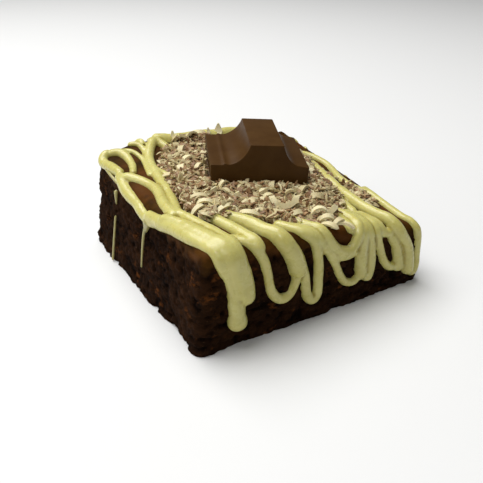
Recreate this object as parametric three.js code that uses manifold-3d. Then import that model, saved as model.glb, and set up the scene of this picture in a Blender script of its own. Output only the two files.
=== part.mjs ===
// Chocolate brownie: a square of dark cake, white chocolate drizzled over it, a heap of
// chocolate shavings on top and one moulded piece of milk chocolate standing in the heap.
//
// Millimetres, +Z up. The origin is the middle of the underside. +X runs along the front face,
// the one with the long loops of drizzle, from the near corner to the low right corner, and
// +Y runs from the front face to the back.
//
// The drizzle is laid out on a sheet: inside the top's outline a sheet point is a plan point,
// and past the outline the distance from it is the way down over the rounded edge and the side.

import * as THREE from 'three';
import { mergeVertices } from 'three/addons/utils/BufferGeometryUtils.js';
import Module from 'manifold-3d';

const wasm = await Module();
wasm.setup();

// Driving dimensions, in mm

// Underside: its half width and half depth
const HALF_X = 26.8;
const HALF_Y = 27;
// How far the top edge of each side stands in from its bottom edge: the right one stands out
const LEAN = { left: 2.7, right: -0.6, front: 1.2, back: 0.4 };
// Height at the four top corners: the cake thins toward its right side
const HEIGHT = { nearLeft: 20.4, nearRight: 12.6, farLeft: 20.6, farRight: 18.2 };
// The crust swells between the sides and sinks again where the topping lies
const SWELL = 1.7;
const SINK = 1.1;
// It has risen higher in a bulge at the back, near the left: the bulge's top and reach
const BULGE = { x: -14.5, y: 27.5, reachX: 6.5, reachY: 6, rise: 2.3 };
// Rounding of the top edge, and of the upright edges in plan
const EDGE_R = 2;
const CORNER_R = 1.6;
// Depth of the crumb's relief on the sides, and of the crust's on the top
const CRUMB = 0.5;
const CRUST = 0.12;
// Clear gap between the cake, the heap and the chocolate piece
const GAP = 0.3;

// Moulded chocolate piece: middle of its underside, how it is turned about +Z and leans with
// the cake, and its section
const PIECE = {
  at: [2.9, 1.9, 21.2], turn: -23.8, rollRight: 4.1, pitchBack: 2.6,
  width: 20.6, depth: 17.6, height: 8.1,
  ledgeHeight: 3.9, leftLedge: 3, leftFlank: 5, rightFlank: 4, rightLedge: 1.7,
  draft: 1.1, bevel: 0.35,
};

// Heap of shavings: middle and half sizes of its squarish outline, least thickness, how far it
// climbs the chocolate piece, its slope away from there, and its flakes
const HEAP = { x: 0.4, y: 0.2, halfX: 17, halfY: 19.4, thick: 1.1, climb: 0.5, slope: 0.3, flakes: 105 };
// Where its rim swings out or in: direction and spread in degrees, and how far
const HEAP_LOBES = [
  [-84, 15, 4.6], [-122, 14, -1.2], [-150, 14, 2.2], [10, 13, 2.8], [108, 12, 1.8], [150, 16, -1.8],
];
// A few shavings that lie apart from it, between two strands on the right
const PATCH = { x: 21.2, y: -12, halfX: 2, halfY: 4.6, flakes: 10 };

// Small helpers

const vec = (x, y, z) => new THREE.Vector3(x, y, z);
const mix = THREE.MathUtils.lerp;
const clamp = THREE.MathUtils.clamp;
const radians = THREE.MathUtils.degToRad;

// Seeded random numbers from 0 to 1
function randomSource(seed) {
  let state = seed;
  return () => {
    state = (state + 0x6d2b79f5) | 0;
    let t = Math.imul(state ^ (state >>> 15), 1 | state);
    t = (t + Math.imul(t ^ (t >>> 7), 61 | t)) ^ t;
    return ((t ^ (t >>> 14)) >>> 0) / 4294967296;
  };
}

// Smooth noise from -1 to 1: fixed draws on a unit lattice, blended between its corners
const lattice = Array.from({ length: 4096 }, randomSource(7));
function noise(x, y, z) {
  const cell = [Math.floor(x), Math.floor(y), Math.floor(z)];
  const blend = [x, y, z].map((v, i) => THREE.MathUtils.smoothstep(v - cell[i], 0, 1));
  const draw = (i, j, k) => {
    const spot = (cell[0] + i) * 73 + (cell[1] + j) * 619 + (cell[2] + k) * 1531;
    return lattice[((spot % 4096) + 4096) % 4096];
  };
  const row = (j, k) => mix(draw(0, j, k), draw(1, j, k), blend[0]);
  const face = (k) => mix(row(0, k), row(1, k), blend[1]);
  return 2 * mix(face(0), face(1), blend[2]) - 1;
}

// Closed solid through rings of equal count, with a fan over each end ring
function loft(rings) {
  const count = rings[0].length;
  const points = rings.flat();
  const ends = [rings[0], rings[rings.length - 1]];
  for (const ring of ends) {
    points.push(ring.reduce((sum, p) => sum.add(p), vec(0, 0, 0)).divideScalar(count));
  }
  const faces = [];
  for (let j = 0; j + 1 < rings.length; j++) {
    for (let i = 0; i < count; i++) {
      const a = j * count + i;
      const b = j * count + ((i + 1) % count);
      faces.push([a, b, b + count], [a, b + count, a + count]);
    }
  }
  const last = (rings.length - 1) * count;
  for (let i = 0; i < count; i++) {
    const next = (i + 1) % count;
    faces.push([next, i, points.length - 2]);
    faces.push([last + i, last + next, points.length - 1]);
  }
  const volume = faces.reduce((sum, [a, b, c]) =>
    sum + points[a].dot(points[b].clone().cross(points[c])), 0);
  const geometry = new THREE.BufferGeometry().setFromPoints(points);
  geometry.setIndex(faces.flatMap((face) => (volume > 0 ? face : [...face].reverse())));
  return geometry;
}

// A three.js geometry as a manifold solid, and back
function toSolid(geometry) {
  const plain = geometry.clone();
  plain.deleteAttribute('normal');
  plain.deleteAttribute('uv');
  const merged = mergeVertices(plain, 1e-5);
  return new wasm.Manifold(new wasm.Mesh({
    numProp: 3,
    vertProperties: new Float32Array(merged.attributes.position.array),
    triVerts: new Uint32Array(merged.index.array),
  }));
}

function toGeometry(solid) {
  const mesh = solid.getMesh();
  const geometry = new THREE.BufferGeometry();
  geometry.setAttribute('position', new THREE.Float32BufferAttribute(mesh.vertProperties, 3));
  geometry.setIndex(Array.from(mesh.triVerts));
  geometry.computeVertexNormals();
  return geometry;
}

// The largest body of a solid, without loose scraps
function largestBody(solid) {
  return solid.decompose().reduce((best, body) => (body.volume() > best.volume() ? body : best));
}

const joinToOne = (solids) => largestBody(solids.reduce((sum, solid) => sum.add(solid)));

// Shape of the cake

const TOP = {
  left: -HALF_X + LEAN.left,
  right: HALF_X - LEAN.right,
  front: -HALF_Y + LEAN.front,
  back: HALF_Y - LEAN.back,
};

// Height of the crust: straight between the corners, swollen along the middle of each side,
// sunk in the middle and risen in its bulge
function topHeight(x, y) {
  const s = (x - TOP.left) / (TOP.right - TOP.left);
  const t = (y - TOP.front) / (TOP.back - TOP.front);
  const front = mix(HEIGHT.nearLeft, HEIGHT.nearRight, s);
  const back = mix(HEIGHT.farLeft, HEIGHT.farRight, s);
  const across = 1 - (2 * s - 1) ** 2;
  const along = 1 - (2 * t - 1) ** 2;
  const fromBulge = ((x - BULGE.x) / BULGE.reachX) ** 2 + ((y - BULGE.y) / BULGE.reachY) ** 2;
  return mix(front, back, t) + SWELL * across - SINK * clamp(across * along, 0, 1) ** 0.7
    + BULGE.rise * Math.exp(-fromBulge);
}

// Signed distance of a sheet point from the top's rounded outline, and the way out from it
function edgeOf(x, y) {
  const dx = x - (TOP.left + TOP.right) / 2;
  const dy = y - (TOP.front + TOP.back) / 2;
  const qx = Math.abs(dx) - (TOP.right - TOP.left) / 2 + CORNER_R;
  const qy = Math.abs(dy) - (TOP.back - TOP.front) / 2 + CORNER_R;
  const distance = Math.hypot(Math.max(qx, 0), Math.max(qy, 0)) + Math.min(Math.max(qx, qy), 0) - CORNER_R;
  const out = qx > 0 && qy > 0 ? vec(qx, qy, 0).normalize() : vec(qx >= qy ? 1 : 0, qx < qy ? 1 : 0, 0);
  out.x *= Math.sign(dx) || 1;
  out.y *= Math.sign(dy) || 1;
  return { distance, out };
}

// Length of the rounded edge, half of it on each side of the outline
const ROUND = EDGE_R * Math.PI / 2;

// Straight drop of the side below the rounded edge, at the outline point nearest to x, y
function sideDrop(x, y) {
  const { distance, out } = edgeOf(x, y);
  return topHeight(x - out.x * (distance + EDGE_R), y - out.y * (distance + EDGE_R)) - EDGE_R;
}

// Point on the cake for a sheet point, raised off the surface, and the surface's normal there
function lay(x, y, raised = 0) {
  const { distance, out } = edgeOf(x, y);
  const edge = vec(x - out.x * distance, y - out.y * distance, 0);
  const turn = clamp(distance / ROUND + 0.5, 0, 1) * Math.PI / 2;
  const flat = Math.max(distance - ROUND / 2, 0);
  const drop = sideDrop(x, y);
  const lean = (out.x ** 2) * (out.x < 0 ? LEAN.left : LEAN.right)
    + (out.y ** 2) * (out.y < 0 ? LEAN.front : LEAN.back);
  let reach = EDGE_R * (Math.sin(turn) - 1) + flat * lean / drop;
  if (distance < -ROUND / 2) {
    reach = distance - (EDGE_R - ROUND / 2) * Math.exp((distance + ROUND / 2) / EDGE_R);
  }
  const point = edge.addScaledVector(out, reach);
  point.z = distance < -ROUND / 2
    ? topHeight(point.x, point.y)
    : drop + EDGE_R * Math.cos(turn) - flat;
  const normal = vec(out.x * Math.sin(turn), out.y * Math.sin(turn), Math.cos(turn));
  return { point: point.addScaledVector(normal, raised), normal };
}

// Points all round the top's rounded outline, with the way out at each
function outlinePoints(step) {
  const points = [];
  const turns = 2;
  const corners = [[1, -1], [1, 1], [-1, 1], [-1, -1]];
  const centreOf = ([sx, sy]) => vec(
    sx > 0 ? TOP.right - CORNER_R : TOP.left + CORNER_R,
    sy > 0 ? TOP.back - CORNER_R : TOP.front + CORNER_R, 0);
  corners.forEach((corner, c) => {
    const centre = centreOf(corner);
    const first = radians(-90 + 90 * c);
    for (let i = 0; i <= turns; i++) {
      const angle = first + radians(90) * i / turns;
      const out = vec(Math.cos(angle), Math.sin(angle), 0);
      points.push({ at: centre.clone().addScaledVector(out, CORNER_R), out });
    }
    const out = points[points.length - 1].out;
    const from = points[points.length - 1].at;
    const to = centreOf(corners[(c + 1) % 4]).addScaledVector(out, CORNER_R);
    const parts = Math.round(from.distanceTo(to) / step);
    for (let i = 1; i < parts; i++) {
      points.push({ at: from.clone().lerp(to, i / parts), out });
    }
  });
  return points;
}

// Cake solid: rings from the middle of the crust out over the edge, down the sides and under.
// grown moves the surface outward, for cutting a gap.
function cakeSolid(grown = 0) {
  const outline = outlinePoints(grown ? 5 : 3);
  const middle = vec((TOP.left + TOP.right) / 2, (TOP.front + TOP.back) / 2, 0);
  const rings = [];
  for (const share of [0.3, 0.62, 0.84]) {
    rings.push(outline.map(({ at }) => {
      const spot = middle.clone().lerp(at, share);
      const bump = CRUST * noise(spot.x / 5, spot.y / 5, 3);
      return vec(spot.x, spot.y, topHeight(spot.x, spot.y) + bump + grown);
    }));
  }
  for (const turned of [-0.5, 0, 0.5]) {
    rings.push(outline.map(({ at, out }) => {
      const spot = at.clone().addScaledVector(out, ROUND * turned);
      return lay(spot.x, spot.y, grown).point;
    }));
  }
  const levels = 5;
  const foot = 0.7;
  for (let level = 1; level <= levels; level++) {
    rings.push(outline.map(({ at, out }) => {
      const drop = sideDrop(at.x, at.y);
      const down = (drop - foot) * level / levels;
      const spot = at.clone().addScaledVector(out, ROUND / 2 + down);
      const plain = lay(spot.x, spot.y).point;
      const rough = noise(plain.x / 3.1, plain.y / 3.1, plain.z / 2.6)
        + 0.5 * noise(plain.x / 1.5, plain.y / 1.5, plain.z / 1.5 + 9);
      const swing = CRUMB * rough * Math.min(1, down / 5) + grown;
      return plain.addScaledVector(out, swing);
    }));
  }
  const lowest = rings[rings.length - 1];
  rings.push(lowest.map((p, i) => vec(p.x - outline[i].out.x * foot, p.y - outline[i].out.y * foot, 0)));
  return toSolid(loft(rings));
}

// Drizzle

// A strand: smooth way over the sheet through the points, width at its two ends, its rise
// above the surface as a share of that width, and how far its middle stands off the cake
const strand = (width, way, endWidth = width, rise = 0.52, standOff = 0) => (
  { width, endWidth, way, rise, standOff });

// A loop that hangs over a side: from a point on the top down at one place, round at the
// bottom and up at the other. reach is how far its lowest point lies below the top's outline.
function hangingLoop(width, from, down, up, reach, to) {
  const low = TOP.front - reach;
  const bend = Math.abs(up - down) / 2;
  const middle = (down + up) / 2;
  return strand(width, [
    from, [down, low + bend + 0.45 * reach], [down, low + bend], [middle, low],
    [up, low + bend], [up, low + bend + 0.45 * reach], to,
  ]);
}

// Front side, from the near corner to the right
const frontStrands = [
  strand(2.6, [[-26.2, -2], [-25, -8], [-24, -12.5], [-22.6, -20], [-20.8, -26.2], [-18.6, -32.4],
    [-18.2, -36.4], [-18, -41.8]], 3.2, 0.45),
  strand(3.4, [[-18.3, -37.4], [-18, -41.8]], 4.2, 0.45),
  strand(2.3, [[-24.4, -8.2], [-21.9, -16], [-20.2, -24], [-18, -30.6]], 2.6, 0.6),
  strand(1.8, [[-21.2, -7.4], [-19.6, -13.8], [-18.5, -21], [-17.9, -26.2], [-16.6, -31.4],
    [-16.4, -36.6]], 3.8, 0.6),
  strand(2.4, [[-15.9, -12.6], [-14.6, -17.4], [-13.6, -24]], 3, 0.62),
  strand(1.8, [[-17.2, -21.6], [-15.2, -24.2], [-12.6, -28], [-11.6, -31.2], [-10.7, -35.6],
    [-9.2, -37.4], [-8, -37.6], [-6.6, -36.8], [-5.2, -34.2], [-4.9, -32]]),
  strand(2.6, [[-13.8, -12.8], [-10.9, -17.2], [-9, -23.8], [-5.8, -29.2], [-4.5, -33.6]], 3.8, 0.6),
  strand(1.7, [[-4.6, -28.6], [-3.2, -33.6], [-2.7, -38], [-1.5, -39.4], [-0.3, -38.4], [0, -35],
    [0, -31.2], [-1.2, -26.6], [-3.2, -24.6], [-6, -19.4]], 2.1),
  strand(2, [[-4.6, -16.6], [-2.2, -19.6], [0, -23.2], [3.2, -28.2], [5.4, -29.8], [7.4, -30],
    [9, -28.2], [10.4, -24.4], [10.6, -20.4], [9.4, -18]], 2.2, 0.6),
  strand(1.9, [[8.8, -18.2], [8.4, -23.6], [8, -26.6]], 1.7, 0.5),
  strand(1.9, [[-4.6, -21.4], [-1.8, -24.6], [3.4, -30.2], [6.2, -31], [9.6, -30.2]], 1.8),
  strand(1.6, [[2.4, -29.6], [4, -32.2], [5.2, -34.8], [6.6, -36.7], [8.2, -37.1], [10.2, -36.4]]),
  strand(2.1, [[10.8, -17.4], [11.8, -22.8], [10.9, -28], [10.6, -34.4], [11, -36.8]], 2.7),
  strand(2.1, [[11.8, -18.4], [12.2, -24.8], [12.9, -30], [12.8, -34.4], [11.8, -37.4]], 2.7),
  strand(1.7, [[12.8, -19.6], [14.4, -24.6], [15.2, -28.6], [16.6, -32.6], [17.8, -34.2],
    [19.2, -34.8], [21.2, -34.4]]),
  strand(2, [[14, -19.6], [15.4, -24.2], [16.6, -26.8], [18, -27], [20.2, -25.4]], 1.9, 0.6),
  strand(2, [[18.2, -27.2], [19.8, -29.4], [20.8, -32.8], [21.2, -36]], 2.5),
];

// Right end: two strands along the top, and one that swings out to the side and round the corner
const rightStrands = [
  strand(2.1, [[20.8, 5.6], [18.8, -4.2], [17.6, -12.6], [17.6, -20.4], [19, -25], [22.6, -29.8],
    [23.4, -36.6]], 2.7, 0.6),
  strand(2, [[17.8, -3], [15.4, -11], [14, -19.8]]),
  strand(1.7, [[19, 13], [24, 9.8], [25.8, 5], [23.6, -3.2], [23.4, -7], [25.8, -11.6]]),
  strand(1.8, [[26, -8.5], [25.6, -15], [25.1, -21.6], [25.8, -25.8], [28.6, -29.6], [29.5, -33.4],
    [26, -36], [24, -36.6]]),
];

// Left end of the top
const leftStrands = [
  strand(1.3, [[-21, 13], [-19.3, 18], [-19.6, 23.4], [-22, 25.4]], 2.3),
  strand(2.4, [[-21.6, 25.4], [-24.4, 24], [-23.9, 19.4], [-23.3, 14.4]], 1.9),
  strand(1, [[-21.2, 24.9], [-18, 23.6], [-16.3, 20], [-18, 10.4]]),
  strand(1.2, [[-17.2, 25.8], [-14.9, 24], [-14.8, 18.2]]),
  strand(2.3, [[-10.4, 26], [-14.6, 19], [-16.6, 10], [-18.2, 1], [-21, -9.2]], 2.1),
  strand(2.3, [[-10.6, 25.8], [-8.7, 21.4], [-9.6, 14.6]], 2),
  strand(2, [[-16.6, 14], [-15, 9.8], [-13.8, 5.6]], 1.7),
  strand(2.2, [[-24.8, 14.2], [-21.2, 8.8], [-19.9, 3.6], [-21.6, -4.4], [-22, -10.4]], 2.1),
  strand(2.4, [[-23.8, 15], [-25.2, 9], [-25.8, 2.2], [-26.5, -3], [-25.4, -7.6]], 2.1),
];

// Back edge: one thick strand piled along it, over the tops of the loops that hang there
const backEdge = strand(2.5, [[-11, 26.4], [-4, 25.4], [1, 26], [9, 26], [17, 25.4]], 2.2, 0.8);

// Loops on the back and right sides, drawn at random to match those in front
function hiddenLoops() {
  const random = randomSource(31);
  const draw = (low, high) => mix(low, high, random());
  const loops = [];
  const addLoops = (count, first, pitch, deepest, turn, shift) => {
    for (let i = 0; i < count; i++) {
      const down = first + pitch * i + draw(-0.4, 0.4);
      const up = down + draw(3.4, 0.62 * pitch);
      const start = TOP.front + draw(1.6, 3);
      const loop = hangingLoop(draw(1.6, 2.2), [down - 1.5, start], down, up,
        draw(0.6, 1) * deepest, [up + 1.5, start]);
      loop.way = loop.way.map(([x, y]) => {
        const beyond = TOP.front - y;
        return turn === 180 ? [-x, TOP.back + beyond] : [TOP.right + beyond, x + shift];
      });
      loops.push(loop);
    }
  };
  addLoops(5, -19, 8.4, 13, 180, 0);
  addLoops(3, -1, 8, 7, 90, 0);
  return loops;
}

// Rope laid along a strand: a flattened round section, its lower part sunk in the surface,
// and its ends drawn in to a blunt tip
function ropeSolid({ width, endWidth, way, rise, standOff }, grown = 0) {
  const route = new THREE.CatmullRomCurve3(way.map(([x, y]) => vec(x, y, 0)), false, 'centripetal');
  const steps = Math.max(3, Math.round(route.getLength() / 3.1));
  const sides = 5;
  const spots = route.getSpacedPoints(steps).map((p, i) =>
    lay(p.x, p.y, standOff * Math.sin(Math.PI * i / steps)));
  const rings = spots.map(({ point, normal }, i) => {
    const before = spots[Math.max(i - 1, 0)].point;
    const after = spots[Math.min(i + 1, steps)].point;
    const forward = after.clone().sub(before).normalize();
    const across = forward.clone().cross(normal).normalize();
    const up = across.clone().cross(forward);
    const atEnd = i === 0 || i === steps;
    const size = mix(width, endWidth, i / steps) * (atEnd ? 0.62 : 1);
    const ring = [];
    for (let k = 0; k < sides; k++) {
      const angle = 2 * Math.PI * (k + 0.5) / sides - Math.PI / 2;
      const tall = Math.sin(angle) > 0 ? rise * size + grown : 0.42 * size + grown;
      ring.push(point.clone()
        .addScaledVector(across, (size / 2 + grown) * Math.cos(angle))
        .addScaledVector(up, tall * Math.sin(angle)));
    }
    return ring;
  });
  if (grown) {
    const tip = (ring, way2) => ring.map((p) => p.clone().addScaledVector(way2, grown));
    const first = spots[0].point.clone().sub(spots[1].point).normalize();
    const last = spots[steps].point.clone().sub(spots[steps - 1].point).normalize();
    rings.unshift(tip(rings[0], first));
    rings.push(tip(rings[steps + 1], last));
  }
  return toSolid(loft(rings));
}

// Chocolate piece

const piecePlace = new THREE.Matrix4().makeRotationFromEuler(new THREE.Euler(
  radians(PIECE.pitchBack), radians(PIECE.rollRight), radians(PIECE.turn), 'ZYX'));
piecePlace.setPosition(...PIECE.at);
const intoPiece = piecePlace.clone().invert();

// Outline across the piece, from its lower left corner over the top to its lower right corner
function pieceOutline(inset) {
  const { width, height, ledgeHeight, leftLedge, leftFlank, rightFlank, rightLedge } = PIECE;
  const half = width / 2;
  const flankRise = height - ledgeHeight;
  const start = radians(14);
  const end = radians(72);
  const outline = [[-half + 0.3, 0], [-half, ledgeHeight]];
  const arc = (foot, run, spread) => {
    for (let i = 0; i <= 5; i++) {
      const angle = spread(i / 5);
      const across = Math.sin(angle) / Math.sin(end);
      const upward = (1 - Math.cos(angle)) / (1 - Math.cos(end));
      outline.push([foot + run * across, ledgeHeight + flankRise * upward]);
    }
  };
  arc(-half + leftLedge, leftFlank, (t) => mix(0, end, t));
  arc(half - rightLedge, -rightFlank, (t) => mix(end, start, t));
  outline.push([half, ledgeHeight - 0.3], [half - 0.3, 0]);
  return outline.map(([x, z]) => [x * (1 - inset / half), clamp(z, inset, height - inset)]);
}

// Piece solid: its section carried from front to back, both faces leaning in and bevelled
function pieceSolid(grown = 0) {
  const { depth, height, draft, bevel } = PIECE;
  const stations = [[-1, bevel], [-1, 0], [1, 0], [1, bevel]];
  const rings = stations.map(([side, inset]) => pieceOutline(inset).map(([x, z]) => {
    const reach = depth / 2 - draft * z / height - (inset ? 0 : bevel);
    const growth = 1 + grown / (PIECE.width / 2);
    return vec(x * growth, side * (reach + grown), z < height / 4 ? z - grown : z + grown);
  }));
  const geometry = loft(rings).applyMatrix4(piecePlace);
  return toSolid(geometry);
}

// Shavings

// Half size of the heap in a direction, uneven along its rim
function heapReach(angle) {
  const across = Math.abs(Math.cos(angle)) / HEAP.halfX;
  const along = Math.abs(Math.sin(angle)) / HEAP.halfY;
  const plain = (across ** 3 + along ** 3) ** (-1 / 3);
  const lobes = HEAP_LOBES.reduce((sum, [at, spread, far]) => {
    const away = 1 - Math.cos(angle - radians(at));
    return sum + far * Math.exp(-2 * away / radians(spread) ** 2);
  }, 0);
  return plain + lobes + 0.9 * noise(2.2 * Math.cos(angle), 2.2 * Math.sin(angle), 5);
}

// Height of the heap's core over a spot at a share of the way from its middle to its rim:
// it lies against the chocolate piece's foot, slopes away to a thin layer and ends in a rim
function coreHeight(x, y, share) {
  const crust = topHeight(x, y);
  const local = vec(x, y, PIECE.at[2]).applyMatrix4(intoPiece);
  const away = Math.hypot(
    Math.max(Math.abs(local.x) - PIECE.width / 2, 0),
    Math.max(Math.abs(local.y) - PIECE.depth / 2, 0));
  const hill = PIECE.at[2] - local.z + HEAP.climb - HEAP.slope * away;
  const bumps = 0.4 * noise(x / 2.6, y / 2.6, 1);
  const inside = Math.max(crust + HEAP.thick, hill) + bumps;
  return mix(inside, crust + 0.25, THREE.MathUtils.smoothstep(share, 0.8, 1.05));
}

function coreSolid() {
  const count = 24;
  const shares = [0.3, 0.6, 0.85, 1];
  const spotAt = (i, share) => {
    const angle = 2 * Math.PI * i / count;
    const reach = share * heapReach(angle);
    return vec(HEAP.x + reach * Math.cos(angle), HEAP.y + reach * Math.sin(angle), 0);
  };
  const rings = shares.map((share) => Array.from({ length: count }, (_, i) => {
    const spot = spotAt(i, share);
    return vec(spot.x, spot.y, coreHeight(spot.x, spot.y, share));
  }));
  rings.push(Array.from({ length: count }, (_, i) => spotAt(i, 1).setZ(12)));
  return toSolid(loft(rings));
}

// One shaving: a three-sided sliver bent along its length
function flakeSolid(length, width, thick, bend, place) {
  const stations = 3;
  const rings = [];
  for (let i = 0; i < stations; i++) {
    const angle = bend * (i / (stations - 1) - 0.5);
    const radius = length / bend;
    const ends = i === 1 ? 1 : 0.6;
    rings.push([[-1, -1], [1, -1], [0, 1]].map(([side, face]) => {
      const arm = radius + face * thick / 2;
      return vec(arm * Math.sin(angle), side * ends * width / 2, arm * Math.cos(angle) - radius);
    }));
  }
  return toSolid(loft(rings).applyMatrix4(place));
}

// Shavings spread evenly over a patch by two steps that never fall in line, the largest first
function flakesOver(count, seed, spotAt, largest, smallest) {
  const random = randomSource(seed);
  const draw = (low, high) => mix(low, high, random());
  const flakes = [];
  for (let i = 0; i < count; i++) {
    const size = mix(largest, smallest, Math.sqrt(i / count)) * draw(0.85, 1.15);
    const spot = spotAt(Math.sqrt((i * 0.754878 + 0.5) % 1), 2 * Math.PI * ((i * 0.56984) % 1));
    const place = new THREE.Matrix4().makeRotationFromEuler(
      new THREE.Euler(draw(-0.5, 0.5), draw(-0.45, 0.45), draw(0, 2 * Math.PI), 'ZYX'));
    place.setPosition(spot.x, spot.y, spot.z + draw(0.05, 0.22) * size);
    flakes.push(flakeSolid(size, size * draw(0.4, 0.6), draw(0.45, 0.7), draw(0.7, 1.6), place));
  }
  return flakes;
}

function heapFlakes() {
  const spotAt = (share, angle) => {
    const reach = share * (heapReach(angle) - 0.4);
    const x = HEAP.x + reach * Math.cos(angle);
    const y = HEAP.y + reach * Math.sin(angle);
    return vec(x, y, coreHeight(x, y, share));
  };
  return flakesOver(HEAP.flakes, 11, spotAt, 4, 1.7);
}

// The few shavings that lie apart from the heap, stuck to the crust
function patchFlakes() {
  const spotAt = (share, angle) => {
    const x = PATCH.x + share * PATCH.halfX * Math.cos(angle);
    const y = PATCH.y + share * PATCH.halfY * Math.sin(angle);
    return vec(x, y, topHeight(x, y));
  };
  return flakesOver(PATCH.flakes, 17, spotAt, 3.2, 1.8);
}

// Assembly

const strands = [...frontStrands, ...rightStrands, ...leftStrands, backEdge, ...hiddenLoops()];

function brownieGeometry() {
  const solids = [cakeSolid(), ...strands.map((item) => ropeSolid(item)), ...patchFlakes()];
  return toGeometry(largestBody(joinToOne(solids).subtract(pieceSolid(GAP))));
}

function shavingsGeometry() {
  const heap = joinToOne([coreSolid(), ...heapFlakes()]);
  const clearance = [cakeSolid(GAP), ...strands.map((item) => ropeSolid(item, GAP)), pieceSolid(GAP)];
  const left = clearance.reduce((rest, solid) => rest.subtract(solid), heap);
  return toGeometry(largestBody(left));
}

function namedMesh(name, geometry, color, roughness) {
  const material = new THREE.MeshStandardMaterial({ color, roughness, metalness: 0 });
  const mesh = new THREE.Mesh(geometry, material);
  mesh.name = name;
  return mesh;
}

const brownie = new THREE.Group();
brownie.add(
  namedMesh('brownie', brownieGeometry(), 0x2e1a10, 0.85),
  namedMesh('shavings', shavingsGeometry(), 0xb59a78, 0.6),
  namedMesh('chocolate_chunk', toGeometry(pieceSolid()), 0x4e3522, 0.4),
);

export default brownie;
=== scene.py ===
"""Looks of a chocolate brownie: dark cake, white chocolate drizzle, shavings and a moulded piece.

Lengths are in millimetres until a mesh is made, which is in metres. The frame is the part's own:
the origin is the middle of the underside, +X runs along the front face, +Y to the back, +Z up.
The cake, the drizzle and the heap follow the same formulas as the solids that they replace.
"""

import math

import bpy
import numpy as np
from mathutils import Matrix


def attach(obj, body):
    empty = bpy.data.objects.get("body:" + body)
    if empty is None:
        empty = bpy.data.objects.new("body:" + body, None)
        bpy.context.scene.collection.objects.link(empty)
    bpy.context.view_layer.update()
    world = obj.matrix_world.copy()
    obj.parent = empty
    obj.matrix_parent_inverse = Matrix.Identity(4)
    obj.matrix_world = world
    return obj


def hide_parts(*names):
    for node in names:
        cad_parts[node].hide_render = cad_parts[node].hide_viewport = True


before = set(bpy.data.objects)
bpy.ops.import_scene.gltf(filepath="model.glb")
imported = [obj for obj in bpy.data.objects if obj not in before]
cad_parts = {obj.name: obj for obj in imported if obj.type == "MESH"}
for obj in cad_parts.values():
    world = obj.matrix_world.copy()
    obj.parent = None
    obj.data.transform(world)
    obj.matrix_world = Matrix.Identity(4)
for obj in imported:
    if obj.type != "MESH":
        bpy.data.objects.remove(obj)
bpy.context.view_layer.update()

METRES = 0.001

# Cake: half sizes of the underside, how far each top edge stands in, corner heights, crown
# and the bulge at the back: its middle, its reach each way and its rise
HALF_X, HALF_Y = 26.8, 27.0
LEAN_LEFT, LEAN_RIGHT, LEAN_FRONT, LEAN_BACK = 2.7, -0.6, 1.2, 0.4
NEAR_LEFT, NEAR_RIGHT, FAR_LEFT, FAR_RIGHT = 20.4, 12.6, 20.6, 18.2
SWELL, SINK = 1.7, 1.1
BULGE_X, BULGE_Y, BULGE_REACH_X, BULGE_REACH_Y, BULGE_RISE = -14.5, 27.5, 6.5, 6.0, 2.3
EDGE_R, CORNER_R = 2.0, 1.6
LEFT, RIGHT = -HALF_X + LEAN_LEFT, HALF_X - LEAN_RIGHT
FRONT, BACK = -HALF_Y + LEAN_FRONT, HALF_Y - LEAN_BACK
# Length of the rounded edge, half of it on each side of the top's outline
ROUND = EDGE_R * math.pi / 2

# Moulded piece: middle of its underside, its turn and lean, and its section
PIECE_AT = np.array([2.9, 1.9, 21.2])
PIECE_TURN, PIECE_ROLL, PIECE_PITCH = -23.8, 4.1, 2.6
PIECE_WIDTH, PIECE_DEPTH, PIECE_HEIGHT = 20.6, 17.6, 8.1
LEDGE_HEIGHT, LEFT_LEDGE, LEFT_FLANK, RIGHT_FLANK, RIGHT_LEDGE = 3.9, 3.0, 5.0, 4.0, 1.7
PIECE_DRAFT = 1.1

# Heap: middle and half sizes of its outline, least thickness, climb on the piece and slope
HEAP_X, HEAP_Y, HEAP_HALF_X, HEAP_HALF_Y = 0.4, 0.2, 17.0, 19.4
HEAP_THICK, HEAP_CLIMB, HEAP_SLOPE = 1.1, 0.5, 0.3
# Where its rim swings out or in: direction and spread in degrees, and how far
HEAP_LOBES = ((-84, 15, 4.6), (-122, 14, -1.2), (-150, 14, 2.2), (10, 13, 2.8), (108, 12, 1.8),
              (150, 16, -1.8))
# Shavings off the heap: middle, half sizes, lowest and highest place over the crust, how many
PATCHES = ((21.2, -12, 1.9, 5, 0.2, 1.0, 105), (19.2, -2.4, 1.9, 4.6, 0.6, 1.3, 22),
           (-16.7, -13.2, 1.3, 1.0, 0.8, 1.7, 14), (-1.5, 23.6, 5.0, 1.4, 0.6, 1.5, 60),
           (-14.6, -12.6, 2.0, 1.3, 0.7, 1.7, 26), (-5.2, -17.4, 1.6, 2.0, 0.6, 1.5, 30))
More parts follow.
